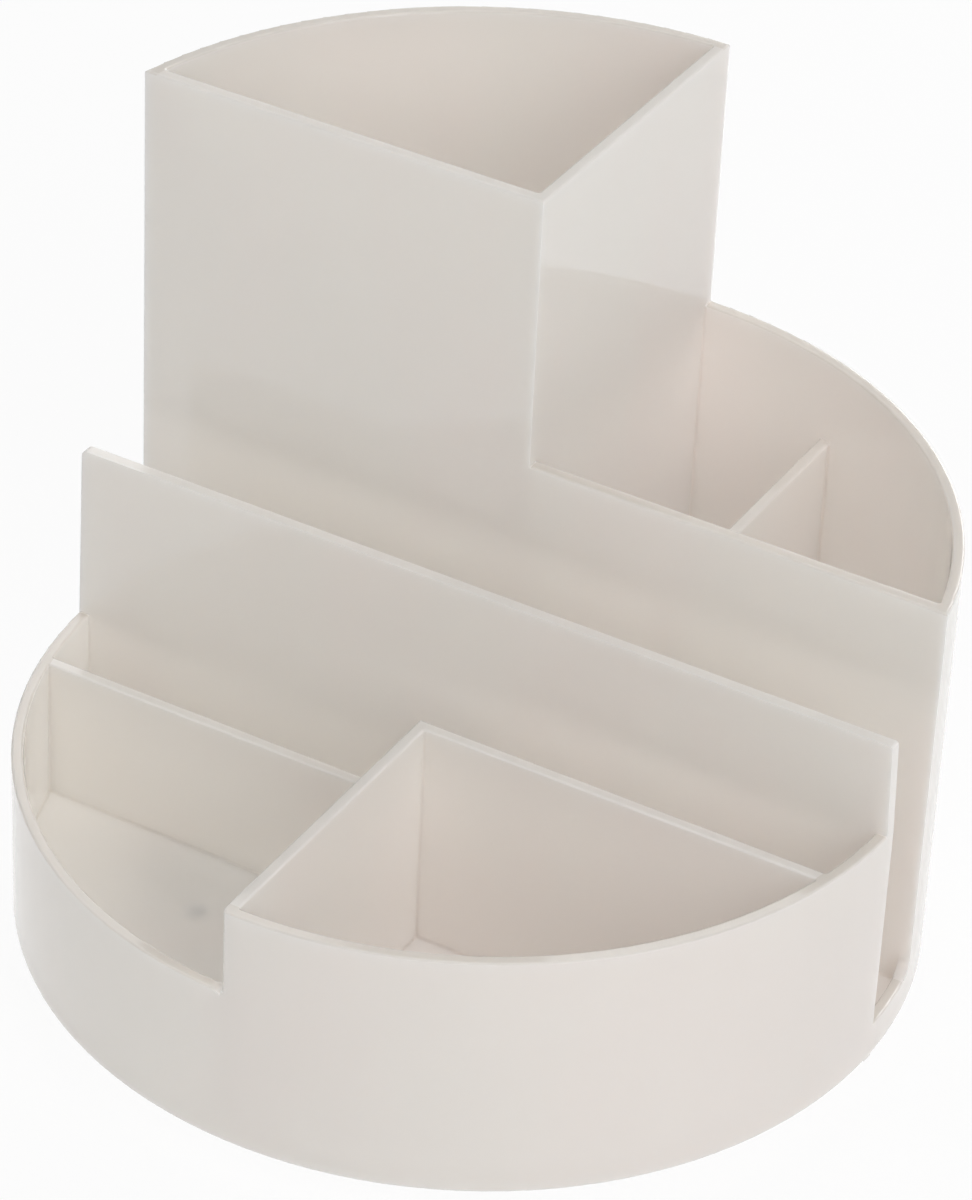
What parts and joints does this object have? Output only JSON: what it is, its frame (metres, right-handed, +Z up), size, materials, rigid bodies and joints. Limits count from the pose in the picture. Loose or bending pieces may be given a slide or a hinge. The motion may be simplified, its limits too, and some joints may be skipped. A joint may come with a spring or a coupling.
{
  "type": "rotating desk organizer",
  "caption": "Round glossy desk organizer with a tall pen cup, bins, a note slot and low trays, turning on a hidden ball-bearing base.",
  "frame": {"origin": "on the turning axis, in the plane of the feet's undersides, at the centre of the bounding box's bottom", "axes": "+Z up along the turning axis, +Y to the back where the tall cup stands, +X to the right along the note slot"},
  "size_m": [0.14, 0.14, 0.125],
  "materials": {
    "caddy_gloss": "high-gloss off-white moulding",
    "turntable_plastic": "fine satin moulding",
    "cage_plastic": "natural nylon",
    "bearing_steel": "polished ball steel",
    "pivot_steel": "zinc plated",
    "slip_plastic": "self-lubricating acetal",
    "foot_rubber": "matt rubber"
  },
  "bodies": {
    "base": {"turntable_base": "turntable_plastic", "pivot_rivet": "pivot_steel", "pivot_sleeve": "pivot_steel", "thrust_washer": "slip_plastic", "rivet_washer": "pivot_steel", "rubber_foot_1": "foot_rubber", "rubber_foot_2": "foot_rubber", "rubber_foot_3": "foot_rubber", "rubber_foot_4": "foot_rubber"},
    "cage": {"ball_cage": "cage_plastic", "bearing_ball_01": "bearing_steel", "bearing_ball_02": "bearing_steel", "bearing_ball_03": "bearing_steel", "bearing_ball_04": "bearing_steel", "bearing_ball_05": "bearing_steel", "bearing_ball_06": "bearing_steel", "bearing_ball_07": "bearing_steel", "bearing_ball_08": "bearing_steel", "bearing_ball_09": "bearing_steel", "bearing_ball_10": "bearing_steel", "bearing_ball_11": "bearing_steel", "bearing_ball_12": "bearing_steel", "bearing_ball_13": "bearing_steel", "bearing_ball_14": "bearing_steel", "bearing_ball_15": "bearing_steel", "bearing_ball_16": "bearing_steel"},
    "caddy": {"caddy_body": "caddy_gloss", "turntable_top": "turntable_plastic", "plate_screw_1": "pivot_steel", "plate_screw_2": "pivot_steel", "plate_screw_3": "pivot_steel", "plate_screw_4": "pivot_steel"}
  },
  "joints": [
    {"name": "caddy_spin", "type": "hinge", "parent": "base", "child": "caddy", "pos_m": [0, 0, 0], "axis": [0, 0, 1], "continuous": true},
    {"name": "cage_roll", "type": "hinge", "parent": "base", "child": "cage", "pos_m": [0, 0, 0], "axis": [0, 0, 1], "continuous": true}
  ],
  "couplings": [
    {"joint": "cage_roll", "follows": "caddy_spin", "ratio": 0.5}
  ]
}
